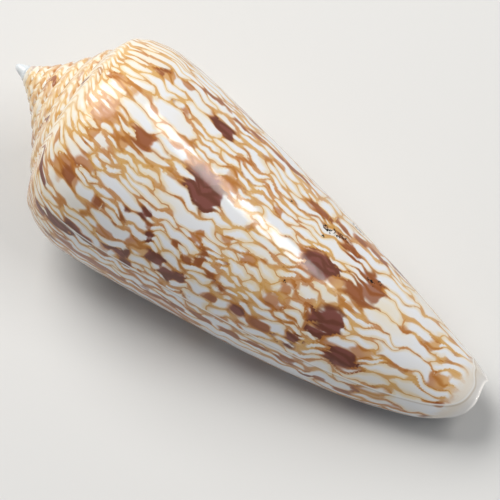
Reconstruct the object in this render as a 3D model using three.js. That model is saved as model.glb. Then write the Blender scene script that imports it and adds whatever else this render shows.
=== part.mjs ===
// A cone shell: one grown piece, lying on its side with its aperture down.
// The wall is a tube of skin that winds round the axis. Each row of the mesh is the outline of the
// whorl at one moment of growth, from the suture over the ramp and the shoulder down to the front end.
// Lengths are in millimetres and angles in degrees, unless a name says otherwise.
import * as THREE from "three";

// Driving dimensions
const LENGTH = 59.75; // from the apex to the point of the front end, along the axis
const SHOULDER_RADIUS = 11.8; // at the lip, where the ramp meets the side
const WHORLS = 9; // turns from the apex to the lip
const WHORL_RATIO = 0.732; // radius of the shoulder one turn earlier
const FRONT_RATIO = 0.243; // radius of the front end one turn earlier
const RATIO_POWER = 1.5; // how that ratio falls from the shoulder to the front end

// The spire is a straight cone at its tip and flares to a flatter slope at the shoulder.
const SPIRE_FLARE_HEIGHT = 3.38;
const SPIRE_FLARE_RADIUS = 2.27;
const SPIRE_OUTER_SLOPE = 0.63;
const APEX_HEIGHT = 1.25; // of the tip above the first whorl's shoulder

// The ramp: share of the way from suture to shoulder, how far it bulges as a share of its width, and
// how far the growth line there runs ahead of the shoulder.
const RAMP = [
  { way: 0.35, bulge: 0.07, ahead: -9 },
  { way: 0.75, bulge: 0.1, ahead: -5 },
];

// The side of the last whorl: share of the way from shoulder to front end, radius as a share of the
// shoulder's, and how far the growth line there runs ahead of the shoulder.
const SIDE = [
  { way: 0.03, radius: 1.067, ahead: 2 },
  { way: 0.09, radius: 1.121, ahead: 4 },
  { way: 0.2, radius: 1.096, ahead: 6 },
  { way: 0.4, radius: 1.003, ahead: 7 },
  { way: 0.6, radius: 0.893, ahead: 6 },
  { way: 0.78, radius: 0.745, ahead: 2 },
  { way: 0.9, radius: 0.594, ahead: -5 },
  { way: 0.965, radius: 0.493, ahead: -14 },
  { way: 1, radius: 0.393, ahead: -22 },
];

// The front end: its rim is cut round at the lip, has a small point, and draws back to the columella.
const LIP_CORNER = { turns: 0.16, depth: 4.2, power: 2.2 };
const FRONT_POINT = { turns: 0.36, width: 0.028, height: 0.35 };
const COLUMELLA = { from: 0.25, turns: 0.75, most: 1.32, depth: 2.6, power: 1.3 };

// The wall and the hollow behind the aperture
const WALL = 1.0;
const LIP_EDGE = 0.45; // the wall's thickness at the lip
const LIP_TAPER_TURNS = 0.12;
const GAP_SHARE = 0.4; // the most of the gap between two whorls that the wall fills
const HOLLOW_TURNS = 0.75;

// How the shell lies on its lip and shoulder: the axis dips towards the front end, and the lip is
// turned this far from the top.
const AXIS_DIP = 9.6;
const LIP_TURN = 120.55;

// How finely it is divided
const STEPS = 36; // rows in a turn
const SHOULDER_AT = RAMP.length + 1; // place on the outline, counted in points from the suture
const SIDE_STEP = 1;

const lerp = THREE.MathUtils.lerp;
const clamp = THREE.MathUtils.clamp;
const radians = THREE.MathUtils.degToRad;

// Radius and height of the shoulder at a whorl position counted in turns from the apex.
function shoulder(whorl) {
  const radius = SHOULDER_RADIUS * WHORL_RATIO ** (WHORLS - whorl);
  const flare = SPIRE_FLARE_HEIGHT * (1 - Math.exp(-radius / SPIRE_FLARE_RADIUS));
  return { radius, down: flare + SPIRE_OUTER_SLOPE * radius };
}

// Distance of the front rim below the apex, a number of turns behind the lip.
function frontEnd(turnsBack) {
  const corner = clamp(1 - turnsBack / LIP_CORNER.turns, 0, 1) ** LIP_CORNER.power;
  const point = Math.exp(-(((turnsBack - FRONT_POINT.turns) / FRONT_POINT.width) ** 2));
  const past = clamp((turnsBack - COLUMELLA.from) / COLUMELLA.turns, 0, COLUMELLA.most);
  const drawn = past ** COLUMELLA.power;
  return LENGTH - LIP_CORNER.depth * corner + FRONT_POINT.height * (point - 1) - COLUMELLA.depth * drawn;
}

// The points that the whorl's outline runs through, as [radius, distance below the apex, degrees ahead].
function outlinePoints(whorl) {
  const turnsBack = WHORLS - whorl;
  const edge = shoulder(whorl);
  const suture = shoulder(whorl - 1);
  const across = edge.radius - suture.radius;
  const along = edge.down - suture.down;
  const ramp = RAMP.map(({ way, bulge, ahead }) => [
    suture.radius + way * across + bulge * along,
    suture.down + way * along - bulge * across,
    ahead,
  ]);
  const front = frontEnd(turnsBack);
  const side = SIDE.map(({ way, radius, ahead }) => {
    const ratio = lerp(WHORL_RATIO, FRONT_RATIO, way ** RATIO_POWER);
    return [SHOULDER_RADIUS * radius * ratio ** turnsBack, lerp(edge.down, front, way), ahead];
  });
  return [[suture.radius, suture.down, 0], ...ramp, [edge.radius, edge.down, 0], ...side];
}

// A smooth (Catmull-Rom) line through the points, at a place counted in points from the first.
function lineAt(points, place) {
  const last = points.length - 1;
  const i = clamp(Math.floor(place), 0, last - 1);
  const t = place - i;
  const mirrored = (end, next) => end.map((value, k) => 2 * value - next[k]);
  const before = i > 0 ? points[i - 1] : mirrored(points[0], points[1]);
  const after = i < last - 1 ? points[i + 2] : mirrored(points[last], points[last - 1]);
  return points[i].map((b, k) => {
    const [a, c, d] = [before[k], points[i + 1][k], after[k]];
    const square = (2 * a - 5 * b + 4 * c - d) * t ** 2;
    const cube = (3 * b - a - 3 * c + d) * t ** 3;
    return 0.5 * (2 * b + (c - a) * t + square + cube);
  });
}

// A point of the outline in space: x and y across the axis, z from the apex down to the front end.
function inSpace([radius, down, ahead], whorl) {
  const angle = radians(360 * (whorl - WHORLS) + ahead);
  return new THREE.Vector3(radius * Math.cos(angle), radius * Math.sin(angle), down);
}

function outerPoint(whorl, place) {
  return inSpace(lineAt(outlinePoints(whorl), place), whorl);
}

// The same point on the inside of the wall.
function innerPoint(whorl, place) {
  const points = outlinePoints(whorl);
  const at = lineAt(points, place);
  const nudge = 0.01;
  const [r0, z0] = lineAt(points, place - nudge);
  const [r1, z1] = lineAt(points, place + nudge);
  const length = Math.hypot(r1 - r0, z1 - z0);
  const [underRadius] = lineAt(outlinePoints(whorl - 1), Math.max(place, SHOULDER_AT));
  const taper = clamp((WHORLS - whorl) / LIP_TAPER_TURNS, 0, 1);
  const gap = place > SHOULDER_AT ? at[0] - underRadius : WALL / GAP_SHARE;
  const wall = Math.min(lerp(LIP_EDGE, WALL, taper), GAP_SHARE * gap);
  const radius = at[0] - (wall * (z1 - z0)) / length;
  const down = at[1] + (wall * (r1 - r0)) / length;
  return inSpace([radius, down, at[2]], whorl);
}

// A closed surface that is put together from rows of numbered vertices.
class Skin {
  constructor() {
    this.positions = [];
    this.triangles = [];
  }
  vertex(point) {
    this.positions.push(point.x, point.y, point.z);
    return this.positions.length / 3 - 1;
  }
  triangle(a, b, c) {
    if (a !== b && b !== c && c !== a) this.triangles.push(a, b, c);
  }
  // The faces between two rows of the same length.
  band(row, next) {
    for (let i = 0; i + 1 < row.length; i++) {
      this.triangle(row[i], next[i], next[i + 1]);
      this.triangle(row[i], next[i + 1], row[i + 1]);
    }
  }
  geometry() {
    const geometry = new THREE.BufferGeometry();
    geometry.setAttribute("position", new THREE.Float32BufferAttribute(this.positions, 3));
    geometry.setIndex(this.triangles);
    return geometry;
  }
}

function shellGeometry() {
  const skin = new Skin();
  const whorlOf = (row) => row / STEPS;
  const lipRow = WHORLS * STEPS;
  const hollowRow = lipRow - HOLLOW_TURNS * STEPS;
  const underLipRow = lipRow - STEPS;
  const deepRow = hollowRow - STEPS;
  const frontAt = SHOULDER_AT + SIDE.length;
  const rampAt = Array.from({ length: SHOULDER_AT }, (_, i) => i + 1);
  const sideAt = [];
  for (let place = SHOULDER_AT + SIDE_STEP; place <= frontAt; place += SIDE_STEP) sideAt.push(place);

  // The ramp of every whorl, from the suture to the shoulder
  const apex = skin.vertex(new THREE.Vector3(0, 0, shoulder(0).down - APEX_HEIGHT));
  const ramps = [];
  for (let row = 0; row <= lipRow; row++) {
    const suture = row < STEPS ? apex : ramps[row - STEPS].at(-1);
    ramps.push([suture, ...rampAt.map((place) => skin.vertex(outerPoint(whorlOf(row), place)))]);
  }

  // The side of the last whorl, and of the one before it where it lines the hollow
  const sides = new Map();
  for (let row = deepRow; row <= lipRow; row++) {
    sides.set(row, sideAt.map((place) => skin.vertex(outerPoint(whorlOf(row), place))));
  }

  // The inside of the wall, from the whorl below the suture round to the front rim
  const innerAt = [...rampAt, ...sideAt];
  const insides = new Map();
  for (let row = hollowRow; row <= lipRow; row++) {
    const start = sides.get(row - STEPS)[0];
    insides.set(row, [start, ...innerAt.map((place) => skin.vertex(innerPoint(whorlOf(row), place)))]);
  }

  for (let row = 0; row < lipRow; row++) skin.band(ramps[row], ramps[row + 1]);
  for (let row = deepRow; row < lipRow; row++) {
    const open = row >= underLipRow; // above the hollow the shoulder is hidden in the wall
    const withShoulder = (i) => [...(open ? [ramps[i].at(-1)] : []), ...sides.get(i)];
    skin.band(withShoulder(row), withShoulder(row + 1));
  }
  for (let row = hollowRow; row < lipRow; row++) {
    skin.band(insides.get(row + 1), insides.get(row));
    const rim = (i) => [sides.get(i).at(-1), insides.get(i).at(-1)];
    skin.band(rim(row), rim(row + 1));
  }

  // The lip's edge and the hollow's blind end
  const across = (row) => [...ramps[row].slice(1), ...sides.get(row)];
  skin.band([ramps[lipRow][0], ...across(lipRow)], insides.get(lipRow));
  const floor = sides.get(deepRow);
  const ceiling = insides.get(hollowRow);
  const spare = ceiling.length - floor.length;
  for (let i = 0; i < spare; i++) skin.triangle(ceiling[i], floor[0], ceiling[i + 1]);
  skin.band(ceiling.slice(spare), floor);

  // The first whorl's start, and the columella's tip
  for (let i = 0; i + 1 < ramps[0].length; i++) skin.triangle(apex, ramps[0][i], ramps[0][i + 1]);
  const rim = [];
  for (let row = deepRow; row <= hollowRow; row++) rim.push(sides.get(row).at(-1));
  rim.push(ceiling.at(-1), rim[0]);
  const tip = skin.vertex(new THREE.Vector3(0, 0, LENGTH - COLUMELLA.depth));
  for (let i = 0; i + 1 < rim.length; i++) skin.triangle(tip, rim[i], rim[i + 1]);
  return skin.geometry();
}

const glazed = new THREE.MeshStandardMaterial({ color: 0xe9d9bd, roughness: 0.32, metalness: 0 });
const shell = new THREE.Mesh(shellGeometry(), glazed);
shell.name = "shell";
shell.geometry.computeVertexNormals();
shell.rotation.set(0, radians(-90 - AXIS_DIP), radians(LIP_TURN));

// The origin is under the middle of the shell, on the surface that it lies on.
shell.updateMatrixWorld(true);
const box = new THREE.Box3().setFromObject(shell, true);
const middle = box.getCenter(new THREE.Vector3());
shell.position.set(-middle.x, -middle.y, -box.min.z);

const part = new THREE.Group();
part.add(shell);
export default part;
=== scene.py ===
import math

import bpy
import numpy as np
from mathutils import Matrix, Vector


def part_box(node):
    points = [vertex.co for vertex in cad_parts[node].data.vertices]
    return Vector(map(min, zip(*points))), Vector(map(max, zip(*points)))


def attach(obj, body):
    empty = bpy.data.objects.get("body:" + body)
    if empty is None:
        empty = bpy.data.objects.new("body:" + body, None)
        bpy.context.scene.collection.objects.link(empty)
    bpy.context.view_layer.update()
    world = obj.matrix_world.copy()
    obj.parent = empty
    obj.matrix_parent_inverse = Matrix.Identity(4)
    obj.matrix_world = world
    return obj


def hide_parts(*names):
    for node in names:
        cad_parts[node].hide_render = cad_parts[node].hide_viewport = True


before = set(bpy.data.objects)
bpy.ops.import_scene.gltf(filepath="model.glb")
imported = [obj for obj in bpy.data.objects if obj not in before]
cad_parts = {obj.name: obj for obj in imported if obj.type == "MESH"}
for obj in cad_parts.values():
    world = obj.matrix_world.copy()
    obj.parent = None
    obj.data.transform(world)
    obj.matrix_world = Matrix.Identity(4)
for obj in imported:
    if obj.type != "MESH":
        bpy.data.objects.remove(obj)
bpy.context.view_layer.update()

# The shell's dimensions, in millimetres and degrees, as in the CAD part but for the point's width
LENGTH = 59.75
SHOULDER_RADIUS = 11.8
WHORLS = 9
WHORL_RATIO = 0.732
FRONT_RATIO = 0.243
RATIO_POWER = 1.5
SPIRE_FLARE_HEIGHT = 3.38
SPIRE_FLARE_RADIUS = 2.27
SPIRE_OUTER_SLOPE = 0.63
APEX_HEIGHT = 1.25
RAMP = (  # way from suture to shoulder, bulge, degrees that the growth line runs ahead
    (0.35, 0.07, -9),
    (0.75, 0.1, -5),
)
SIDE = (  # way from shoulder to front end, share of the shoulder's radius, degrees ahead
    (0.03, 1.067, 2),
    (0.09, 1.121, 4),
    (0.2, 1.096, 6),
    (0.4, 1.003, 7),
    (0.6, 0.893, 6),
    (0.78, 0.745, 2),
    (0.9, 0.594, -5),
    (0.965, 0.493, -14),
    (1.0, 0.393, -22),
)
CORNER_TURNS, CORNER_DEPTH, CORNER_POWER = 0.16, 4.2, 2.2
POINT_TURNS, POINT_HEIGHT, POINT_POWER = 0.36, 0.35, 1.3
POINT_WIDTH = 0.024  # finer than the solid's rows allow
COLUMELLA_FROM, COLUMELLA_TURNS, COLUMELLA_MOST = 0.25, 0.75, 1.32
COLUMELLA_DEPTH, COLUMELLA_POWER = 2.6, 1.3
WALL = 1.0
LIP_EDGE = 0.45
LIP_TAPER_TURNS = 0.12
GAP_SHARE = 0.4  # the most that the wall takes of the room between two whorls
HOLLOW_TURNS = 0.75
AXIS_DIP = 9.6
LIP_TURN = 120.55

# Small forms that the CAD part leaves out
SWELL_TURNS, SWELL_WIDTH, SWELL_HEIGHT = 0.2, 0.05, 0.25  # of the front rim
RIDGE_TURNS = 0.15  # the raised growth line's distance behind the lip
RIDGE_NEAR, RIDGE_FAR = 0.6, 2.1  # its distances from the front rim
RIDGE_SHIFT_FROM, RIDGE_SHIFT_OVER = 0.26, 0.12  # turns over which it goes from one to the other
RIDGE_BEND = 2.4  # how widely it rounds the corner between lip and front
RIDGE_HEIGHT, RIDGE_WIDTH = 0.05, 0.2

# How finely the skin is divided
STEPS = 288  # rows in a turn
COARSE = 6  # rows that one row inside the aperture stands for
DOME_RINGS = 4  # between the apex and the first whorl
RAMP_DIVISIONS = 2  # columns between two points of the ramp
SIDE_SPACING = 0.32  # millimetres between the columns of the side

MM = 0.001
SHOULDER_AT = len(RAMP) + 1

# The camera stands where the photograph was taken from.
CAMERA_DISTANCE = 200.0
CAMERA_AZIMUTH = 215.51
CAMERA_ELEVATION = 68.92
CAMERA_ROLL = -0.72
CAMERA_LENS = 137.5
SENSOR = 36.0
FRAME_PIXELS = 500
AXIS_MIDDLE = 30.0  # the camera is level with this place on the axis
AIM_RIGHT, AIM_DOWN = 0.484, 2.057


def shoulder(whorl):
    """Radius of the shoulder and its distance below the apex."""
    radius = SHOULDER_RADIUS * WHORL_RATIO ** (WHORLS - whorl)
    flare = SPIRE_FLARE_HEIGHT * (1 - np.exp(-radius / SPIRE_FLARE_RADIUS))
    return radius, flare + SPIRE_OUTER_SLOPE * radius


APEX_DOWN = shoulder(0)[1] - APEX_HEIGHT


def front_end(turns_back):
    """Distance of the front rim below the apex, a number of turns behind the lip."""
    corner = np.clip(1 - turns_back / CORNER_TURNS, 0, 1) ** CORNER_POWER
    point = np.exp(-(abs((turns_back - POINT_TURNS) / POINT_WIDTH) ** POINT_POWER))
    past = np.clip((turns_back - COLUMELLA_FROM) / COLUMELLA_TURNS, 0, COLUMELLA_MOST)
    drawn = COLUMELLA_DEPTH * past**COLUMELLA_POWER
    swell = SWELL_HEIGHT * np.exp(-(((turns_back - SWELL_TURNS) / SWELL_WIDTH) ** 2))
    return LENGTH - CORNER_DEPTH * corner + POINT_HEIGHT * (point - 1) - drawn + swell


def outline_points(whorl):
    """The points of each whorl's outline, as (whorl, point, [radius, down, degrees ahead])."""
    turns_back = WHORLS - whorl
    none = np.zeros_like(whorl)
    radius, down = shoulder(whorl)
    suture_radius, suture_down = shoulder(whorl - 1)
    across, along = radius - suture_radius, down - suture_down
    points = [(suture_radius, suture_down, none)]
    for way, bulge, ahead in RAMP:
        points.append((
            suture_radius + way * across + bulge * along,
            suture_down + way * along - bulge * across,
            none + ahead,
        ))
    points.append((radius, down, none))
    front = front_end(turns_back)
    for way, share, ahead in SIDE:
        ratio = WHORL_RATIO + (FRONT_RATIO - WHORL_RATIO) * way**RATIO_POWER
        side_radius = SHOULDER_RADIUS * share * ratio**turns_back
        points.append((side_radius, down + way * (front - down), none + ahead))
    return np.moveaxis(np.array(points), 2, 0)


def line_at(points, places):
    """A smooth (Catmull-Rom) line through each row of points, at places counted in points."""
    before = 2 * points[:, :1] - points[:, 1:2]
    after = 2 * points[:, -1:] - points[:, -2:-1]
    padded = np.concatenate([before, points, after], axis=1)
    i = np.clip(np.floor(places).astype(int), 0, points.shape[1] - 2)
    t = (places - i)[:, None]
    a, b, c, d = (padded[:, i + k] for k in range(4))
    square = (2 * a - 5 * b + 4 * c - d) * t**2
    cube = (3 * b - a - 3 * c + d) * t**3
    return 0.5 * (2 * b + (c - a) * t + square + cube)


def in_space(line, whorl):
    """Turns radius, distance down and degrees ahead into places in space."""
    angle = np.radians(360 * (whorl[:, None] - WHORLS) + line[..., 2])
    x, y = line[..., 0] * np.cos(angle), line[..., 0] * np.sin(angle)
    return np.stack([x, y, line[..., 1]], axis=-1)


def outer_points(whorl, places):
    return in_space(line_at(outline_points(whorl), places), whorl)


def inner_points(whorl, places):
    """The same places on the inside of the wall."""
    points = outline_points(whorl)
    at = line_at(points, places)
    nudge = 0.01
    step = line_at(points, places + nudge) - line_at(points, places - nudge)
    length = np.hypot(step[..., 0], step[..., 1])
    under = line_at(outline_points(whorl - 1), np.maximum(places, SHOULDER_AT))
    gap = np.where(places > SHOULDER_AT, at[..., 0] - under[..., 0], WALL / GAP_SHARE)
    taper = np.clip((WHORLS - whorl) / LIP_TAPER_TURNS, 0, 1)[:, None]
    wall = np.minimum(LIP_EDGE + (WALL - LIP_EDGE) * taper, GAP_SHARE * gap)
    moved = at.copy()
    moved[..., 0] -= wall * step[..., 1] / length
    moved[..., 1] += wall * step[..., 0] / length
    return in_space(moved, whorl)


def side_places():
    """Places on the side of the whorl, evenly spaced along it."""
    ways = [0] + [way for way, share, ahead in SIDE]
    side_length = LENGTH - shoulder(WHORLS)[1]
    places = []
    for i in range(len(SIDE)):
        count = max(5, round((ways[i + 1] - ways[i]) * side_length / SIDE_SPACING))
        places += [SHOULDER_AT + i + (k + 1) / count for k in range(count)]
    return np.array(places)


def along_line(points):
    """Distance along each row of points from its start."""
    steps = np.linalg.norm(np.diff(points, axis=1), axis=2)
    return np.concatenate([np.zeros((len(points), 1)), np.cumsum(steps, axis=1)], axis=1)


class Skin:
    """A surface put together from grids of vertices. Each face corner carries its own fields."""

    def __init__(self):
        self.points = []
        self.count = 0
        self.corners = []
        self.fields = []

    def vertices(self, points):
        flat = points.reshape(-1, 3)
        self.points.append(flat)
        self.count += len(flat)
        return np.arange(self.count - len(flat), self.count).reshape(points.shape[:-1])

    def polygons(self, corners, fields):
        """corners is (faces, 3 or 4) vertex numbers, and fields is (faces, 3 or 4, values)."""
        self.corners += [list(face) for face in corners]
        self.fields.append(fields.reshape(-1, fields.shape[-1]))

    def band(self, numbers, fields):
        """The faces between neighbouring rows and columns of a grid."""
        def quads(grid):
            return np.stack([grid[:-1, :-1], grid[1:, :-1], grid[1:, 1:], grid[:-1, 1:]], axis=2)
        corners = quads(numbers).reshape(-1, 4)
        values = quads(fields).reshape(-1, 4, fields.shape[-1])
        whole = np.array([len(set(face)) == 4 for face in corners.tolist()])
        self.polygons(corners[whole], values[whole])
        for face, value in zip(corners[~whole], values[~whole]):
            kept = [k for k in range(4) if face[k] != face[k - 1]]
            if len(kept) == 3:
                self.polygons(face[kept][None], value[kept][None])

    def fan(self, numbers, tip, field):
        for a, b in zip(numbers[:-1], numbers[1:]):
            if len({a, b, tip}) == 3:
                self.polygons(np.array([[tip, a, b]]), np.tile(field, (1, 3, 1)))


# What each face corner carries: its place in the shell's growth, and which part of the shell it is
TURNS, RADIUS, ALONG, INSIDE, MARGIN, RAMP_WAY = range(6)
FIELD_COUNT = 6


def grown(whorl, places, points, inside=0.0):
    """The fields of a grid of places. ALONG counts millimetres from the shoulder to the front."""
    line = line_at(outline_points(whorl), places)
    fields = np.zeros(points.shape[:2] + (FIELD_COUNT,))
    fields[..., TURNS] = (WHORLS - whorl)[:, None]
    fields[..., RADIUS] = np.where(places < SHOULDER_AT, shoulder(whorl)[0][:, None], line[..., 0])
    reach = along_line(points)
    shoulder_column = int(np.argmin(abs(places - SHOULDER_AT)))
    fields[..., ALONG] = reach - reach[:, shoulder_column, None]
    fields[..., INSIDE] = inside
    reaches_front = places[-1] > SHOULDER_AT
    fields[..., MARGIN] = fields[..., ALONG] - (fields[:, -1:, ALONG] if reaches_front else LENGTH)
    fields[..., RAMP_WAY] = np.clip(1 - places / SHOULDER_AT, 0, 1)
    return fields


def eased(way):
    return way**2 * (3 - 2 * way)


def ridge_distance(fields):
    """Millimetres from the raised growth line, which runs beside the lip and round the front."""
    turns, margin = fields[..., TURNS], fields[..., MARGIN]
    lipward = (RIDGE_TURNS - turns) * 2 * math.pi * fields[..., RADIUS]
    shift = eased(np.clip((turns - RIDGE_SHIFT_FROM) / RIDGE_SHIFT_OVER, 0, 1))
    frontward = margin + RIDGE_NEAR + (RIDGE_FAR - RIDGE_NEAR) * shift
    return -(lipward + frontward + np.hypot(lipward - frontward, RIDGE_BEND)) / 2


def shell_skin():
    skin = Skin()
    lip_row = WHORLS * STEPS
    under_lip = lip_row - STEPS
    hollow_row = lip_row - round(HOLLOW_TURNS * STEPS)
    deep_row = hollow_row - STEPS
    ramp_places = np.linspace(0, SHOULDER_AT, SHOULDER_AT * RAMP_DIVISIONS + 1)
    all_places = np.concatenate([ramp_places, side_places()])
    ramp_count = len(ramp_places)

    # The ramp of every whorl
    rows = np.arange(lip_row + 1)
    ramp_points = outer_points(rows / STEPS, ramp_places)
    apex = skin.vertices(np.array([[0, 0, APEX_DOWN]]))[0]
    ramps = np.empty((lip_row + 1, ramp_count), int)
    ramps[:, 1:] = skin.vertices(ramp_points[:, 1:])

    # A rounded cap on the apex
    dome = np.linspace(0, 1, DOME_RINGS + 2)[1:-1]
    rings = ramp_points[:STEPS + 1, 1:2] * [1, 1, 0] * dome[:, None] ** 0.5
    rings[..., 2] = APEX_DOWN + (ramp_points[:STEPS + 1, 1, 2:] - APEX_DOWN) * dome
    domes = skin.vertices(rings)

    # A ramp's first column is the shoulder of the whorl before, or the cap's edge.
    ramps[:STEPS, 0] = domes[:-1, -1]
    ramps[STEPS:, 0] = ramps[:-STEPS, -1]
    ramp_fields = grown(rows / STEPS, ramp_places, ramp_points)

    # The ramp and side of the last whorl, with the raised growth line
    last_rows = np.arange(under_lip, lip_row + 1)
    last_points = outer_points(last_rows / STEPS, all_places)
    last_fields = grown(last_rows / STEPS, all_places, last_points)
    raised = RIDGE_HEIGHT * np.exp(-((ridge_distance(last_fields) / RIDGE_WIDTH) ** 2))
    outward = last_points[..., :2] / np.linalg.norm(last_points[..., :2], axis=2, keepdims=True)
    last_points[..., :2] += raised[..., None] * outward
    last_sides = skin.vertices(last_points[:, ramp_count:])
    side_fields = last_fields[:, ramp_count - 1:]
    ramp_fields[under_lip:] = last_fields[:, :ramp_count]
    skin.band(ramps, ramp_fields)
    skin.band(np.column_stack([ramps[under_lip:, -1], last_sides]), side_fields)

    # The cap's faces, and those that close the edge where the first whorl begins
    dome_fields = np.repeat(ramp_fields[:STEPS + 1, :1], DOME_RINGS + 1, axis=1)
    tips = np.full((STEPS + 1, 1), apex)
    dome_grid = np.column_stack([tips, domes])
    skin.band(dome_grid, dome_fields)
    skin.band(dome_grid[[STEPS, 0]], dome_fields[[0, 0]])
    first_edge = np.concatenate([ramps[0], domes[STEPS - 1, -1:]])
    skin.fan(first_edge, domes[STEPS, -1], ramp_fields[0, 0])

    # The side of the whorl before, where it lines the hollow
    deep_rows = np.arange(deep_row, under_lip + 1, COARSE)
    deep_points = outer_points(deep_rows / STEPS, all_places)
    deep_fields = grown(deep_rows / STEPS, all_places, deep_points, inside=1.0)[:, ramp_count:]
    deep_sides = skin.vertices(deep_points[:-1, ramp_count:])
    deep_sides = np.vstack([deep_sides, last_sides[0]])
    skin.band(deep_sides, deep_fields)

    # The inside of the wall, from the whorl below the suture round to the front rim
    inner_rows = np.arange(hollow_row, lip_row + 1, COARSE)
    inner_grid = inner_points(inner_rows / STEPS, all_places)
    insides = np.column_stack([deep_sides[:, 0], skin.vertices(inner_grid[:, 1:])])
    inner_fields = grown(inner_rows / STEPS, all_places, inner_grid, inside=1.0)
    skin.band(insides[::-1], inner_fields[::-1])

    # The front rim: fine rows outside meet coarse rows inside.
    bare = np.zeros(FIELD_COUNT)
    bare[INSIDE] = 1
    rim_first = hollow_row - under_lip
    for k in range(len(inner_rows) - 1):
        start = rim_first + k * COARSE
        outside = last_sides[start:start + COARSE + 1, -1]
        skin.fan(outside[::-1], insides[k, -1], bare)
        skin.fan(np.array([insides[k, -1], insides[k + 1, -1]]), outside[-1], bare)

    # The lip's edge
    lip_outside = np.concatenate([ramps[lip_row], last_sides[-1]])
    lip_fields = np.tile(bare, (2, len(lip_outside), 1))
    skin.band(np.stack([lip_outside, insides[-1]]), lip_fields)

    # The hollow's blind end
    floor, ceiling = deep_sides[0], insides[0]
    spare = len(ceiling) - len(floor)
    skin.fan(ceiling[:spare + 1][::-1], floor[0], bare)
    skin.band(np.stack([ceiling[spare:], floor]), np.tile(bare, (2, len(floor), 1)))

    # The columella's tip
    rim = list(deep_sides[:-1, -1]) + list(last_sides[:rim_first + 1, -1]) + [insides[0, -1]]
    tip = skin.vertices(np.array([[0, 0, LENGTH - COLUMELLA_DEPTH]]))[0]
    skin.fan(np.array(rim + rim[:1]), tip, bare)
    return skin


def lying(points):
    """Turns points from the shell's own axes to how it lies."""
    turn = Matrix.Rotation(math.radians(LIP_TURN), 3, "Z")
    dip = Matrix.Rotation(math.radians(-90 - AXIS_DIP), 3, "Y")
    return points @ np.array(dip @ turn).T


def make_shell():
    """The shell at the CAD's place, the fields of its face corners, and how far it was moved."""
    skin = shell_skin()
    points = lying(np.concatenate(skin.points)) * MM
    low, high = points.min(axis=0), points.max(axis=0)
    cad_low, cad_high = (np.array(corner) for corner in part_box("shell"))
    move = (cad_low + cad_high) / 2 - (low + high) / 2
    move[2] = cad_low[2] - low[2]
    mesh = bpy.data.meshes.new("cone_shell")
    mesh.from_pydata((points + move).tolist(), [], skin.corners)
    mesh.polygons.foreach_set("use_smooth", [True] * len(mesh.polygons))
    piece = bpy.data.objects.new("cone_shell", mesh)
    bpy.context.scene.collection.objects.link(piece)
    return piece, np.concatenate(skin.fields), move


def make_camera(move):
    """Looks at the shell from where the photograph was taken."""
    azimuth, elevation = math.radians(CAMERA_AZIMUTH), math.radians(CAMERA_ELEVATION)
    level = math.cos(elevation)
    back = Vector((math.sin(azimuth) * level, -math.cos(azimuth) * level, math.sin(elevation)))
    turned = back.to_track_quat("Z", "Y").to_matrix()
    turned = turned @ Matrix.Rotation(math.radians(CAMERA_ROLL), 3, "Z")
    middle = Vector(lying(np.array([0, 0, AXIS_MIDDLE])) * MM + move)
    place = middle + back * CAMERA_DISTANCE * MM
    aim = middle + turned @ Vector((AIM_RIGHT, -AIM_DOWN, 0)) * MM
    forward = (aim - place).normalized()
    swing = (-back).rotation_difference(forward).to_matrix()
    data = bpy.data.cameras.new("camera")
    data.lens = CAMERA_LENS
    data.sensor_width = SENSOR
    data.clip_start = 0.01
    camera = bpy.data.objects.new("camera", data)
    camera.matrix_world = Matrix.Translation(place) @ (swing @ turned).to_4x4()
    bpy.context.scene.collection.objects.link(camera)
    bpy.context.scene.camera = camera
    return camera


# Blotches as the photograph shows them: place in its pixels, then length and width in millimetres
DARK_MARKS = (
    (206, 194, 4.2, 2.7), (327, 270, 3.2, 1.7), (330, 322, 3.0, 2.2), (346, 360, 3.2, 1.7),
    (428, 382, 1.4, 0.5), (84, 82, 0.5, 2.0), (48, 117, 1.0, 0.8), (40, 173, 3.6, 0.7),
    (44, 212, 2.0, 0.8), (54, 220, 2.4, 1.1), (66, 228, 2.4, 1.2), (78, 233, 2.2, 1.1),
    (91, 243, 2.0, 0.8), (145, 214, 1.6, 1.2), (148, 236, 1.2, 1.1), (126, 253, 1.8, 1.2),
    (110, 247, 1.2, 0.9), (129, 266, 1.3, 0.8), (53, 238, 2.2, 0.5), (159, 260, 2.0, 1.2),
    (168, 276, 2.0, 1.4), (183, 280, 1.5, 1.1), (187, 295, 0.9, 0.7), (240, 313, 2.0, 0.9),
    (296, 339, 1.5, 0.9), (316, 332, 2.6, 0.9), (287, 345, 1.3, 0.7), (228, 133, 2.8, 1.2),
    (253, 121, 2.2, 0.4), (125, 211, 1.3, 0.7), (306, 375, 1.6, 0.8),
)
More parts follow.
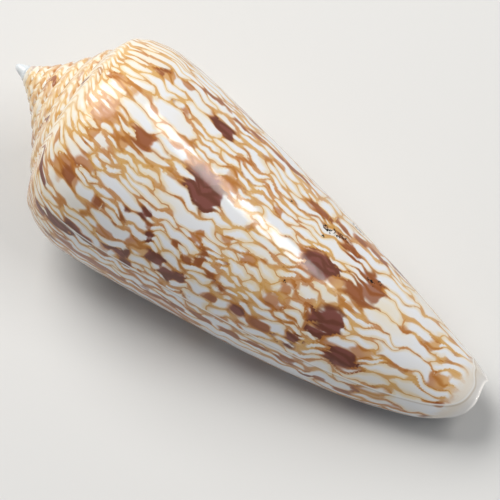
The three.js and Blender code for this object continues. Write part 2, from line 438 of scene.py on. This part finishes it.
RED_MARKS = (
    (369, 290, 4.0, 3.1), (355, 256, 2.0, 1.0), (352, 389, 2.0, 1.0), (381, 259, 2.4, 0.6),
    (347, 232, 1.8, 0.8), (365, 245, 1.6, 0.6), (386, 264, 1.6, 0.5), (409, 282, 2.0, 0.5),
    (440, 406, 1.5, 0.7), (147, 144, 2.4, 1.5), (166, 70, 1.5, 0.5), (164, 75, 1.4, 0.6),
    (54, 84, 1.2, 0.8), (71, 178, 1.8, 1.2), (43, 142, 1.2, 0.5), (220, 102, 1.6, 0.8),
    (230, 111, 1.6, 0.5), (239, 121, 1.2, 0.4), (260, 139, 1.6, 0.4), (282, 159, 2.2, 0.4),
    (306, 181, 2.2, 0.4), (319, 208, 1.4, 0.6), (100, 205, 1.0, 0.8), (122, 216, 1.2, 0.8),
    (149, 226, 1.3, 0.9), (106, 254, 1.4, 0.8), (215, 301, 1.5, 0.7), (218, 288, 1.2, 0.7),
    (266, 328, 2.4, 0.9), (142, 286, 2.4, 0.9), (202, 258, 1.0, 1.8),
    (68, 243, 2.4, 0.9), (84, 256, 2.6, 0.8), (103, 268, 2.8, 0.9), (122, 279, 2.4, 0.8),
    (160, 297, 2.6, 0.9), (180, 309, 2.4, 0.8), (205, 320, 2.8, 0.8), (232, 334, 2.4, 0.8),
    (258, 346, 2.6, 0.8), (286, 360, 2.6, 0.9), (318, 378, 2.6, 0.8), (346, 392, 2.4, 0.8),
    (190, 262, 1.4, 0.8), (176, 245, 1.2, 0.8), (210, 275, 1.6, 0.7), (212, 96, 2.0, 0.7),
    (242, 128, 2.2, 0.6), (295, 172, 2.2, 0.5), (326, 216, 2.2, 0.6), (350, 244, 2.0, 0.5),
)
ORANGE_MARKS = (
    (188, 193, 5.0, 2.2), (206, 172, 3.6, 1.6), (445, 383, 2.2, 1.6), (435, 347, 2.2, 1.2),
    (409, 332, 1.6, 0.9), (451, 359, 1.2, 1.6), (455, 402, 1.2, 0.8), (428, 402, 1.4, 0.6),
    (125, 85, 2.6, 1.4), (135, 91, 2.4, 1.4), (120, 115, 3.0, 2.0), (98, 126, 2.0, 1.4),
    (95, 133, 1.8, 1.2), (127, 145, 2.0, 1.6), (142, 57, 2.0, 0.8), (57, 140, 1.4, 1.0),
    (43, 83, 1.0, 0.8), (90, 173, 2.0, 1.4), (59, 176, 2.4, 2.4), (173, 81, 2.4, 1.4),
    (169, 71, 2.0, 1.0), (192, 90, 1.6, 1.0), (189, 112, 1.0, 0.9), (157, 109, 1.6, 0.9),
    (189, 140, 2.4, 1.2), (181, 147, 1.8, 1.0), (235, 176, 2.0, 1.4), (235, 189, 2.2, 1.2),
    (249, 151, 1.6, 0.9), (270, 161, 2.0, 0.9), (284, 169, 2.0, 0.8), (252, 162, 1.4, 0.8),
    (251, 224, 1.6, 1.2), (281, 214, 1.4, 1.0), (230, 202, 1.2, 0.9), (61, 200, 2.4, 1.6),
    (75, 185, 2.4, 1.6), (70, 168, 2.0, 1.4), (145, 210, 2.4, 1.6), (200, 236, 1.2, 1.6),
    (230, 239, 1.4, 1.0), (306, 288, 1.8, 1.0), (289, 292, 1.4, 0.9), (254, 265, 1.5, 1.1),
    (268, 261, 1.2, 1.0), (277, 305, 1.6, 1.0), (290, 321, 2.2, 1.2), (316, 262, 2.0, 1.4),
    (340, 283, 2.0, 1.2), (358, 276, 2.0, 1.2), (350, 305, 3.0, 1.0), (318, 326, 3.4, 1.6),
    (332, 350, 3.0, 1.4), (365, 355, 3.0, 1.0), (395, 368, 2.2, 0.8), (110, 240, 2.6, 1.4),
    (145, 250, 2.6, 1.6), (176, 268, 2.4, 1.6), (60, 226, 3.2, 1.4), (85, 212, 2.0, 1.2),
)
SPECK_MARKS = (  # tiny black specks of dirt
    (333, 233, 1.3, 0.5), (339, 236, 1.2, 0.6), (345, 239, 0.8, 0.4), (358, 229, 1.2, 0.6),
    (363, 234, 0.9, 0.4), (372, 282, 1.0, 0.5), (379, 283, 0.6, 0.3), (324, 236, 0.4, 0.3),
    (324, 219, 0.35, 0.3), (293, 202, 0.35, 0.3), (286, 281, 0.35, 0.3),
)
HIDDEN_MARKS = {"dark": 34, "red": 26, "orange": 60}  # blotches on the sides that don't show
HIDDEN_LENGTHS, HIDDEN_WIDTHS = (1.2, 4.0), (0.6, 2.0)
HIDDEN_LEAST_RADIUS = 3.0
FACING = 0.12  # cosine to the camera below which a place counts as unseen
BOXINESS, EDGE_SHARPNESS = 3, 0.7  # of a blotch
FRONT_EDGE = 1.9  # how much more abruptly a blotch ends towards the front end
END_JITTER = 0.6
JITTER_LIMIT = 1.2  # millimetres
MARK_SIZE = 1.1
HALO_SIZE = 1.4
LEAST_STRENGTH, STRENGTH_BY_SIZE = 0.42, 1 / 6  # small blotches only thicken the net's lines
FULL_STRENGTH = {"orange": 1.0, "dark": 1.22, "red": 1.22, "speck": 1.0}

# The net of lines, in millimetres
UNROLLED_RADIUS = 9.0  # at which the surface is unrolled
FINE_NET = (  # where the cells are small and round: turns, along, and the reach of both
    (0.18, 16.0, 0.05, 9.0), (0.25, 5.5, 0.05, 3.5), (0.34, 14.0, 0.03, 3.0),
    (0.47, 26.0, 0.05, 7.0), (0.78, 12.0, 0.06, 8.0), (0.93, 27.0, 0.05, 6.0),
)
CELL_AREAS = (  # first and last turn, first and last place along the shell, tries
    (-0.06, 1.06, -4.6, 47.0, 32000),
    (1.0, 3.0, -3.3, 0.4, 9000),
    (3.0, 8.9, -1.8, 0.4, 6000),
)
SIDE_REACH, SIDE_TAPER = 46.0, 0.165  # the side's length, and how fast it narrows
CELL_SWELLS = (0.72, 1.0, 1.0, 1.5)
CELL_SPACING = 0.72
NARROW_CELL, FINE_CELL, SPIRE_CELL = 1.0, (0.7, 1.6), (1.0, 1.7)  # widths and lengths
CELL_STRETCH, STRETCH_CHANGE, WIDTH_CHANGE = 5.2, 2.2, 0.3
END_LINES = 1.1  # how much wider the lines are at the cells' ends than along their sides
SEARCH_PARTS = 400  # groups of faces that look for their nearest cells together

# The shine of the shell, and the bump in its material, in metres
GLOSS = {
    "Specular IOR Level": 0.12,
    "Coat Weight": 0.8,
    "Coat Roughness": 0.035,
    "Subsurface Weight": 0.0,
}
BUMP_DEPTH = 0.0003
LINES_STRENGTH, PITS_STRENGTH = 0.03, 0.05

# Colours, as red, green and blue in hexadecimal
COLOURS = {
    "white ground": "eef0f4",
    "cream ground": "efe6d3",
    "shoulder": "f2e6cb",
    "beside a line": "eed093",
    "golden line": "d6a04e",
    "brown line": "c27a35",
    "line in orange": "b5702f",
    "line in red": "90502b",
    "line in dark": "6d3c26",
    "light ochre": "d9a050",
    "deep ochre": "bb7331",
    "red blotch": "9b5a37",
    "dark blotch": "864f46",
    "deepest": "693a33",
    "suture": "5e3620",
    "apex": "dce3e7",
    "margin": "ebe3d7",
    "rim": "efece8",
    # painted shadow along the low side of the raised growth line
    "painted shadow under the ridge": "b09a78",
    # painted highlight along the raised growth line
    "ridge": "f6f4ef",
    "dirt": "17120f",
    "inside": "ece7e2",
}


def in_photograph(camera, points):
    """Pixel places of points in the photograph's frame."""
    view = np.array(camera.matrix_world.inverted())
    seen = points @ view[:3, :3].T + view[:3, 3]
    scale = CAMERA_LENS / SENSOR * FRAME_PIXELS / -seen[:, 2]
    middle = FRAME_PIXELS / 2
    return np.stack([middle + seen[:, 0] * scale, middle - seen[:, 1] * scale], axis=1)


def blotch(fields, shift, at, length, width):
    """A boxy spot round one place, with its ends at a different length in each cell of the net."""
    across = (fields[:, TURNS] - at[TURNS]) * 2 * math.pi * fields[:, RADIUS]
    along = fields[:, ALONG] - at[ALONG] + shift * min(END_JITTER * length, JITTER_LIMIT)
    along = np.where(along > 0, along * FRONT_EDGE, along)
    reach = abs(across / (width / 2)) ** BOXINESS + abs(along / (length / 2)) ** BOXINESS
    return np.exp(-EDGE_SHARPNESS * reach)


def marks_on(piece, fields, chance, camera):
    """Strength of each kind of marking at each face corner."""
    mesh = piece.data
    count = len(mesh.vertices)
    points = np.empty(count * 3)
    normals = np.empty(count * 3)
    vertex_of = np.empty(len(mesh.loops), int)
    mesh.vertices.foreach_get("co", points)
    mesh.vertices.foreach_get("normal", normals)
    mesh.loops.foreach_get("vertex_index", vertex_of)
    points, normals = points.reshape(-1, 3), normals.reshape(-1, 3)
    at_vertex = np.zeros((count, FIELD_COUNT))
    at_vertex[vertex_of] = fields
    outside = np.ones(count, bool)
    outside[vertex_of[fields[:, INSIDE] > 0.5]] = False
    to_camera = np.array(camera.location) - points
    to_camera /= np.linalg.norm(to_camera, axis=1)[:, None]
    facing = (normals * to_camera).sum(axis=1)
    pixels = in_photograph(camera, points)
    seen = outside & (facing > FACING)
    roomy = at_vertex[:, RADIUS] > HIDDEN_LEAST_RADIUS
    unseen = np.flatnonzero(outside & (facing < FACING) & roomy)
    dice = np.random.default_rng(7)
    kinds = {"orange": ORANGE_MARKS, "dark": DARK_MARKS, "red": RED_MARKS, "speck": SPECK_MARKS}
    order = np.argsort(fields[:, TURNS])
    sorted_turns = fields[order, TURNS]
    strengths = {kind: np.zeros(len(fields)) for kind in kinds}

    def add(kind, at, length, width, most):
        room = 1.5 * width / (2 * math.pi * at[RADIUS])
        first, last = np.searchsorted(sorted_turns, (at[TURNS] - room, at[TURNS] + room))
        near = order[first:last]
        spot = most * blotch(fields[near], chance[near] - 0.5, at, length, width)
        strengths[kind][near] = np.maximum(strengths[kind][near], spot)

    for kind, marks in kinds.items():
        placed = []
        for x, y, length, width in marks:
            away = np.hypot(pixels[:, 0] - x, pixels[:, 1] - y) + np.where(seen, 0, FRAME_PIXELS)
            placed.append((at_vertex[np.argmin(away)], length, width))
        for at in dice.choice(unseen, HIDDEN_MARKS.get(kind, 0), replace=False):
            length, width = dice.uniform(*HIDDEN_LENGTHS), dice.uniform(*HIDDEN_WIDTHS)
            placed.append((at_vertex[at], length, width))
        for at, length, width in placed:
            strength = LEAST_STRENGTH + (length + width) * STRENGTH_BY_SIZE
            strength = min(strength, FULL_STRENGTH[kind])
            if kind == "speck" or at[ALONG] < 0:
                strength = 1.0
            add(kind, at, length * MARK_SIZE, width * MARK_SIZE, strength)
            if kind in ("dark", "red"):
                add("orange", at, length * HALO_SIZE, width * HALO_SIZE, 1.0)
    return strengths


def wander(x, y, seed, sharp=False):
    """Random values from -1 to 1 over a plane, with a new value at every whole number."""
    table = np.random.default_rng(seed).uniform(-1, 1, (128, 128))
    i, j = np.floor(x).astype(int), np.floor(y).astype(int)
    fx, fy = x - i, y - j
    fx = eased(fx)
    fy = (fy + eased(fy)) / 2 if sharp else eased(fy)
    top = table[i % 128, j % 128] * (1 - fx) + table[(i + 1) % 128, j % 128] * fx
    low = table[i % 128, (j + 1) % 128] * (1 - fx) + table[(i + 1) % 128, (j + 1) % 128] * fx
    return top * (1 - fy) + low * fy


def bent_turns(turns, radius, along):
    """Turns, bent from side to side as the lines of the net run along the shell."""
    around = turns * 2 * math.pi * UNROLLED_RADIUS
    lively = np.clip((along + 1) / 7, 0.3, 1)
    drift = 0.9 * wander(around / 6, along / 6, 1)
    drift += 0.5 * lively * wander(around / 3.2, along / 1.25, 2, sharp=True)
    drift += 0.15 * lively * wander(around / 1.5, along / 0.65, 3)
    return turns + drift / (2 * math.pi * np.maximum(radius, 2.0))


def cell_size(turns, along):
    """Width and length of the net's cells, in millimetres."""
    around = turns * 2 * math.pi * UNROLLED_RADIUS
    patch = wander(around / 7 + 0.3, along / 9 + 0.7, 4)
    fine = 0
    for turn, place, turn_reach, reach in FINE_NET:
        square = ((turns - turn) / turn_reach) ** 2 + ((along - place) / reach) ** 2
        fine = fine + np.exp(-square)
    fine = np.clip(fine, 0, 1)
    width = NARROW_CELL + WIDTH_CHANGE * patch
    length = width * (CELL_STRETCH + STRETCH_CHANGE * patch)
    width = width + (FINE_CELL[0] - width) * fine
    length = length + (FINE_CELL[1] - length) * fine
    near_shoulder = np.clip(1 - abs(along) / 5, 0, 1)
    width = width * (1 - 0.2 * near_shoulder)
    length = length * (1 - 0.35 * near_shoulder)
    on_spire = np.asarray(turns) > 1
    return np.where(on_spire, SPIRE_CELL[0], width), np.where(on_spire, SPIRE_CELL[1], length)


def scatter_cells():
    """The net's cells, as (bent turns, along, width, length, chance), none too near another."""
    dice = np.random.default_rng(11)
    tries = []
    for turn_low, turn_high, along_low, along_high, count in CELL_AREAS:
        turns = dice.uniform(turn_low, turn_high, count)
        along = dice.uniform(along_low, along_high, count)
        tries.append(np.stack([turns, along], axis=1))
    tries = np.concatenate(tries)
    radius = SHOULDER_RADIUS * WHORL_RATIO ** np.maximum(tries[:, 0], 0)
    radius -= np.clip(tries[:, 1], 0, SIDE_REACH) * SIDE_TAPER
    width, length = cell_size(tries[:, 0], tries[:, 1])
    swell = dice.choice(CELL_SWELLS, len(tries))
    width, length = width * swell, length * swell
    kept = np.zeros((0, 5))
    for turn, along, r, w, l in zip(tries[:, 0], tries[:, 1], radius, width, length):
        across = (kept[:, 0] - turn) * 2 * math.pi * r / ((kept[:, 2] + w) / 2)
        down = (kept[:, 1] - along) / ((kept[:, 3] + l) / 2)
        if not len(kept) or (across**2 + down**2).min() > CELL_SPACING:
            kept = np.vstack([kept, [turn, along, w, l, dice.uniform()]])
    return kept


def net_on(mesh, fields):
    """At each face corner: signed distances to the two nearest lines, and the cell's chance."""
    loops = np.empty(len(mesh.polygons), int)
    mesh.polygons.foreach_get("loop_total", loops)
    face_of = np.repeat(np.arange(len(loops)), loops)
    place = fields[:, [TURNS, RADIUS, ALONG]].copy()
    place[:, 0] = bent_turns(place[:, 0], place[:, 1], place[:, 2])
    middle = np.stack([np.bincount(face_of, place[:, k]) / loops for k in range(3)], axis=1)
    cells = scatter_cells()
    nearest = np.zeros((len(loops), 3), int)
    order = np.argsort(middle[:, 0])
    for part in np.array_split(order, SEARCH_PARTS):
        low, high = middle[part, 0].min(), middle[part, 0].max()
        room = 0.06 + 1.6 / (2 * math.pi * middle[part, 1].min())
        near = np.flatnonzero((cells[:, 0] > low - room) & (cells[:, 0] < high + room))
        some = cells[near]
        across = (middle[part, 0:1] - some[:, 0]) * 2 * math.pi * middle[part, 1:2] / some[:, 2]
        down = (middle[part, 2:3] - some[:, 1]) / some[:, 3]
        nearest[part] = near[np.argsort(across**2 + down**2, axis=1)[:, :3]]
    chosen = cells[nearest][face_of]
    across = (place[:, 0:1] - chosen[..., 0]) * 2 * math.pi * place[:, 1:2] / chosen[..., 2]
    down = (place[:, 2:3] - chosen[..., 1]) / chosen[..., 3]
    away = np.hypot(across, down) + 1e-6
    slope = np.stack([across / away / chosen[..., 2], down / away / chosen[..., 3]], axis=-1)

    def distance(i, j):
        gap = slope[:, i] - slope[:, j]
        steep = np.linalg.norm(gap, axis=1) + 0.05
        end_on = abs(gap[:, 1]) / steep
        return (away[:, i] - away[:, j]) / steep / (1 + END_LINES * end_on)

    first = distance(0, 1)
    third = np.where(first < 0, -distance(0, 2), -distance(1, 2))
    chance = cells[nearest[:, 0], 4][face_of]
    return np.stack([first, third, chance], axis=1)


def store(piece, name, kind, values):
    """Keeps values for each face corner in the mesh, for the material to read."""
    layer = piece.data.attributes.new(name, kind, "CORNER")
    key = "vector" if kind == "FLOAT_VECTOR" else "value"
    layer.data.foreach_set(key, np.asarray(values, np.float32).ravel())


def colour_of(name):
    """A named colour, made linear."""
    text = COLOURS[name]
    values = [int(text[i:i + 2], 16) / 255 for i in (0, 2, 4)]
    return tuple(((v + 0.055) / 1.055) ** 2.4 if v > 0.04 else v / 12.92 for v in values) + (1,)


class Graph:
    """Builds a material's nodes from plain calls. An input takes a number or a node's output."""

    def __init__(self, name):
        self.material = bpy.data.materials.new(name)
        self.material.use_nodes = True
        self.tree = self.material.node_tree
        self.shader = self.tree.nodes["Principled BSDF"]

    def node(self, kind, inputs, **settings):
        made = self.tree.nodes.new(kind)
        for key, value in settings.items():
            setattr(made, key, value)
        for key, value in inputs.items():
            self.put(made.inputs[key], value)
        return made

    def put(self, socket, value):
        if isinstance(value, bpy.types.NodeSocket):
            self.tree.links.new(value, socket)
        else:
            socket.default_value = value

    def math(self, operation, a, b=0.0):
        return self.node("ShaderNodeMath", {0: a, 1: b}, operation=operation).outputs[0]

    def plus(self, a, b):
        return self.math("ADD", a, b)

    def times(self, a, b):
        return self.math("MULTIPLY", a, b)

    def most(self, a, b):
        return self.math("MAXIMUM", a, b)

    def step(self, value, low, high):
        """Rises smoothly from 0 at low to 1 at high."""
        inputs = {"Value": value, "From Min": low, "From Max": high}
        made = self.node("ShaderNodeMapRange", inputs, interpolation_type="SMOOTHSTEP")
        return made.outputs["Result"]

    def fall(self, value, low, high):
        return self.math("SUBTRACT", 1.0, self.step(value, low, high))

    def mix(self, share, a, b):
        made = self.node("ShaderNodeMix", {"Factor": share}, data_type="RGBA")
        self.put(made.inputs[6], a)
        self.put(made.inputs[7], b)
        return made.outputs[2]

    def combine(self, x, y, z):
        return self.node("ShaderNodeCombineXYZ", {"X": x, "Y": y, "Z": z}).outputs[0]

    def split(self, name):
        read = self.node("ShaderNodeAttribute", {}, attribute_name=name)
        made = self.node("ShaderNodeSeparateXYZ", {0: read.outputs["Vector"]})
        return made.outputs[0], made.outputs[1], made.outputs[2]

    def value(self, name):
        return self.node("ShaderNodeAttribute", {}, attribute_name=name).outputs["Fac"]

    def noise(self, place, detail, roughness):
        inputs = {"Vector": place, "Scale": 1.0, "Detail": detail, "Roughness": roughness}
        return self.node("ShaderNodeTexNoise", inputs).outputs["Fac"]


def make_shell_material():
    g = Graph("patterned_shell")
    turns, radius, along = g.split("growth")
    inside, margin, ramp_way = g.split("zone")
    dark, red, orange = g.split("marks")
    orange = g.most(orange, g.times(g.fall(turns, 0.08, 0.24), 0.42))  # browner beside the lip
    speck = g.value("specks")
    angle = g.times(turns, 2 * math.pi)

    def noise(across_size, along_size, detail, roughness=0.5):
        """Noise whose grain is across_size millimetres round the axis and along_size along it."""
        x = g.times(g.times(radius, g.math("COSINE", angle)), 1 / across_size)
        y = g.times(g.times(radius, g.math("SINE", angle)), 1 / across_size)
        return g.noise(g.combine(x, y, g.times(along, 1 / along_size)), detail, roughness)

    def centred(value):
        return g.plus(value, -0.5)

    # The net of lines, thicker where three cells meet
    first, third, chance = g.split("net")
    first, third = g.math("ABSOLUTE", first), g.math("ABSOLUTE", third)
    rough = noise(0.45, 0.8, detail=2.0)
    patchy = noise(3.0, 5.0, detail=1.0)
    on_spire = g.step(turns, 0.98, 1.02)
    marked = g.math("MINIMUM", g.plus(red, g.plus(dark, g.times(orange, 0.5))), 1.0)
    wide = g.plus(0.03, g.times(g.step(patchy, 0.35, 0.7), 0.03))
    wide = g.plus(wide, g.times(on_spire, 0.03))
    wide = g.plus(wide, g.times(g.step(marked, 0.05, 0.7), 0.12))
    wide = g.plus(wide, g.times(centred(rough), 0.06))
    edge = g.math("MINIMUM", first, third)
    line = g.fall(edge, g.times(wide, 0.2), g.times(wide, 1.7))
    halo = g.fall(edge, 0.04, 0.4)
    meet = g.plus(first, third)
    join = g.plus(0.26, g.times(g.step(patchy, 0.4, 0.65), 0.36))
    corner = g.fall(meet, g.times(join, 0.7), g.times(join, 1.2))
    on_ramp = g.step(ramp_way, 0.02, 0.3)
    net = g.times(g.most(line, g.times(corner, 0.85)), g.plus(1.0, g.times(on_ramp, -0.5)))

    # Colours of the ground and the lines
    cloud = noise(6.0, 9.0, detail=2.0)
    ground = g.mix(g.step(cloud, 0.45, 0.8), colour_of("white ground"), colour_of("cream ground"))
    near_shoulder = g.most(on_ramp, g.times(g.fall(along, 1.0, 7.0), 0.7))
    ground = g.mix(g.times(near_shoulder, 0.75), ground, colour_of("shoulder"))
    ground = g.mix(g.times(halo, 0.65), ground, colour_of("beside a line"))
    tint = noise(2.5, 3.5, detail=1.0)
    line_colour = g.mix(g.step(tint, 0.4, 0.65), colour_of("golden line"), colour_of("brown line"))

    # Cells that are filled, in three strengths
    grain = noise(0.45, 2.6, detail=2.0)
    cloudy = noise(1.3, 1.8, detail=1.0)
    unrest = g.plus(g.times(centred(grain), 0.25), g.times(centred(cloudy), 0.6))
    mottled = noise(1.1, 0.9, detail=1.0)
    mottled = g.times(on_spire, g.times(g.step(mottled, 0.5, 0.64), 0.8))
    shift = centred(chance)
    unrest = g.plus(unrest, g.times(centred(halo), 0.3))  # blotches spread from the lines
    filled = g.most(mottled, g.step(g.plus(g.plus(orange, unrest), shift), 0.48, 0.85))
    redness = g.plus(g.most(red, g.times(dark, 0.95)), g.plus(unrest, g.times(shift, 0.7)))
    redness = g.step(redness, 0.36, 0.68)
    darkness = g.step(g.plus(dark, g.plus(unrest, g.times(shift, 0.4))), 0.36, 0.68)
    tone = g.times(shift, 0.3)
    for name, mark in (("orange", orange), ("red", red), ("dark", dark)):
        share = g.times(g.step(mark, 0.1, 0.6), 0.85)
        line_colour = g.mix(share, line_colour, colour_of("line in " + name))
    deep = g.step(g.plus(tint, tone), 0.35, 0.7)
    ochre = g.mix(deep, colour_of("light ochre"), colour_of("deep ochre"))
    body = g.mix(g.times(filled, 0.85), ground, ochre)
    body = g.mix(g.times(redness, 0.9), body, colour_of("red blotch"))
    body = g.mix(g.times(darkness, 0.95), body, colour_of("dark blotch"))
    painted = g.mix(g.times(net, 0.9), body, line_colour)
    deepest = g.times(darkness, g.plus(0.15, g.times(net, 0.5)))
    painted = g.mix(deepest, painted, colour_of("deepest"))

    # The suture, the tip, the front margin, the painted shadow and painted highlight along the
    # raised growth line, and the dirt
    suture = g.times(g.step(ramp_way, 0.9, 0.98), g.step(cloudy, 0.42, 0.6))
    painted = g.mix(g.times(suture, 0.8), painted, colour_of("suture"))
    tip = g.fall(radius, 0.8, 1.5)
    painted = g.mix(tip, painted, colour_of("apex"))
    bare = g.step(g.plus(margin, g.times(rough, 1.6)), -2.9, -1.2)
    margin_colour = g.mix(g.step(margin, -2.0, -0.3), colour_of("margin"), colour_of("rim"))
    painted = g.mix(bare, painted, margin_colour)
    from_ridge = g.value("ridge")
    # A painted shadow: a warm-grey band just beside the raised growth line
    painted_shadow_under_ridge = g.fall(g.math("ABSOLUTE", g.plus(from_ridge, 0.2)), 0.04, 0.16)
    painted = g.mix(g.times(painted_shadow_under_ridge, 0.3), painted, colour_of("painted shadow under the ridge"))
    # A painted highlight: a near-white line along the top of the raised growth line
    painted_highlight_on_ridge = g.fall(g.math("ABSOLUTE", from_ridge), 0.03, 0.14)
    painted = g.mix(g.times(painted_highlight_on_ridge, 0.85), painted, colour_of("ridge"))
    crumbs = noise(0.22, 0.22, detail=1.0)
    dirt = g.times(g.step(speck, 0.15, 0.5), g.step(crumbs, 0.5, 0.54))
    painted = g.mix(dirt, painted, colour_of("dirt"))
    painted = g.mix(g.step(inside, 0.4, 0.6), painted, colour_of("inside"))
    g.put(g.shader.inputs["Base Color"], painted)

    # Relief: fine growth lines, and the pits that break up the gloss
    growth_lines = noise(0.22, 7.0, detail=2.0)
    pits = noise(0.2, 0.3, detail=3.0, roughness=0.7)
    lined = {"Height": growth_lines, "Strength": LINES_STRENGTH, "Distance": BUMP_DEPTH}
    lined = g.node("ShaderNodeBump", lined).outputs[0]
    g.put(g.shader.inputs["Normal"], lined)
    pitted = {"Height": pits, "Strength": PITS_STRENGTH, "Distance": BUMP_DEPTH, "Normal": lined}
    g.put(g.shader.inputs["Coat Normal"], g.node("ShaderNodeBump", pitted).outputs[0])
    g.put(g.shader.inputs["Roughness"], g.plus(0.42, g.times(pits, 0.16)))
    for socket, value in GLOSS.items():
        g.shader.inputs[socket].default_value = value
    return g.material


# The studio, in metres and watts
FLOOR_SIZE = 4.0
FLOOR_COLOUR = (0.72, 0.72, 0.71, 1)
LIGHTS_RUN = (-0.57, 0.82, 0)  # level and along the shell
STRIP = {  # its reflection runs along the shell as the photograph's does
    "place": (-0.14, -0.145, 0.42),
    "aim": (0, 0, 0.015),
    "size": (0.014, 0.34),
    "watts": 0.7,
    "colour": (1.0, 0.97, 0.92),
}
KEY = {
    "place": (0.32, -0.1, 0.4),
    "aim": (0, 0, 0.01),
    "size": (0.36, 0.36),
    "watts": 2.6,
    "colour": (1.0, 0.98, 0.95),
}
SKY_COLOUR = (0.8, 0.84, 0.92, 1)
SKY_STRENGTH = 0.22


def make_floor():
    bpy.ops.mesh.primitive_plane_add(size=FLOOR_SIZE)
    floor = bpy.context.object
    floor.name = "floor"
    material = bpy.data.materials.new("pale_floor")
    material.use_nodes = True
    shader = material.node_tree.nodes["Principled BSDF"]
    shader.inputs["Base Color"].default_value = FLOOR_COLOUR
    shader.inputs["Roughness"].default_value = 0.8
    floor.data.materials.append(material)


def area_light(name, place, aim, size, watts, colour):
    """A rectangular light whose length runs along the shell."""
    data = bpy.data.lights.new(name, "AREA")
    data.shape = "RECTANGLE"
    data.size, data.size_y = size
    data.energy = watts
    data.color = colour
    light = bpy.data.objects.new(name, data)
    back = (Vector(place) - Vector(aim)).normalized()
    side = Vector(LIGHTS_RUN).cross(back).normalized()
    turned = Matrix((side, back.cross(side), back)).transposed()
    light.matrix_world = Matrix.Translation(place) @ turned.to_4x4()
    bpy.context.scene.collection.objects.link(light)


def make_sky():
    world = bpy.data.worlds.new("studio")
    world.use_nodes = True
    world.node_tree.nodes["Background"].inputs["Color"].default_value = SKY_COLOUR
    world.node_tree.nodes["Background"].inputs["Strength"].default_value = SKY_STRENGTH
    bpy.context.scene.world = world


piece, fields, move = make_shell()
camera = make_camera(move)
net = net_on(piece.data, fields)
strengths = marks_on(piece, fields, net[:, 2], camera)
store(piece, "growth", "FLOAT_VECTOR", fields[:, [TURNS, RADIUS, ALONG]])
store(piece, "zone", "FLOAT_VECTOR", fields[:, [INSIDE, MARGIN, RAMP_WAY]])
store(piece, "net", "FLOAT_VECTOR", net)
marks = np.stack([strengths[k] for k in ("dark", "red", "orange")], axis=1)
store(piece, "marks", "FLOAT_VECTOR", marks)
store(piece, "specks", "FLOAT", strengths["speck"])
store(piece, "ridge", "FLOAT", ridge_distance(fields))

make_floor()
area_light("strip", **STRIP)
area_light("key", **KEY)
make_sky()
bpy.context.scene.view_settings.view_transform = "Standard"

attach(piece, "root")
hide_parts("shell")
piece.data.materials.clear()
piece.data.materials.append(make_shell_material())
